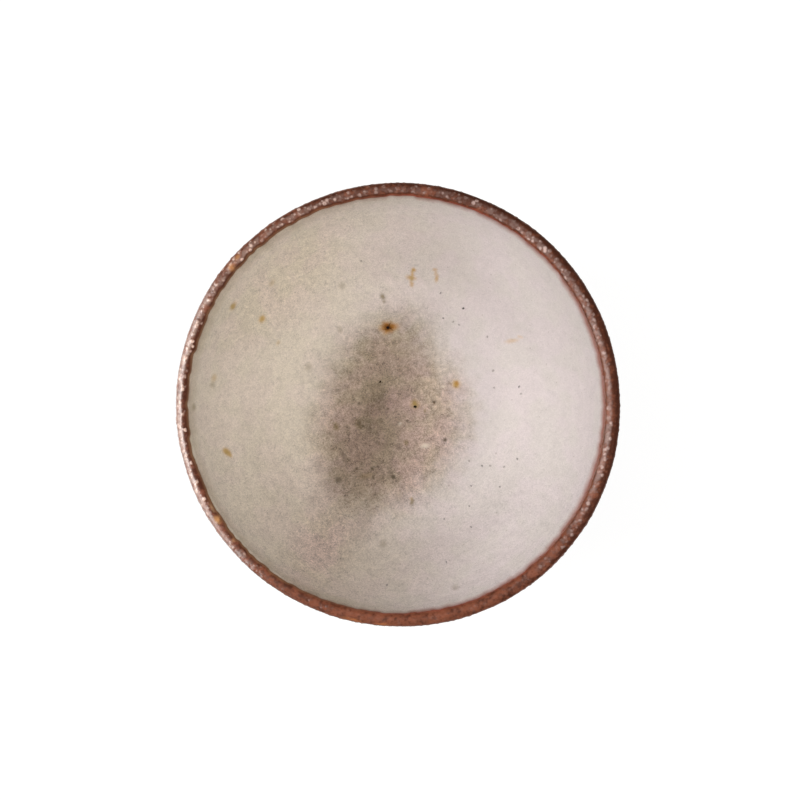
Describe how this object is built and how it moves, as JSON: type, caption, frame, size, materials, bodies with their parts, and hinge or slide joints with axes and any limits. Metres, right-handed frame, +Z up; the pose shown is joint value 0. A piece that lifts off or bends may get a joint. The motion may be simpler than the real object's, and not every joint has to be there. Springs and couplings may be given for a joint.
{
  "type": "tea cup",
  "caption": "Handleless stoneware tea cup: a deep round bowl on a turned foot ring, pale glaze inside, iron-brown glaze over the lip and outside.",
  "frame": {"origin": "centre of the foot, on the table", "axes": "+Z up along the axis the cup was thrown about, +X and +Y alike"},
  "size_m": [0.078, 0.078, 0.06],
  "materials": {
    "stoneware": "bare, fired stoneware",
    "foot_clay": "bare, turned stoneware, a little sandy",
    "pale_glaze": "pale matte glaze with iron spots",
    "iron_glaze": "glossy iron brown, finely grained",
    "brown_glaze": "satin iron brown"
  },
  "bodies": {
    "root": {"clay_body": "stoneware", "foot_ring": "foot_clay", "liner_glaze": "pale_glaze", "lip_glaze": "iron_glaze", "outer_glaze": "brown_glaze"}
  },
  "joints": []
}
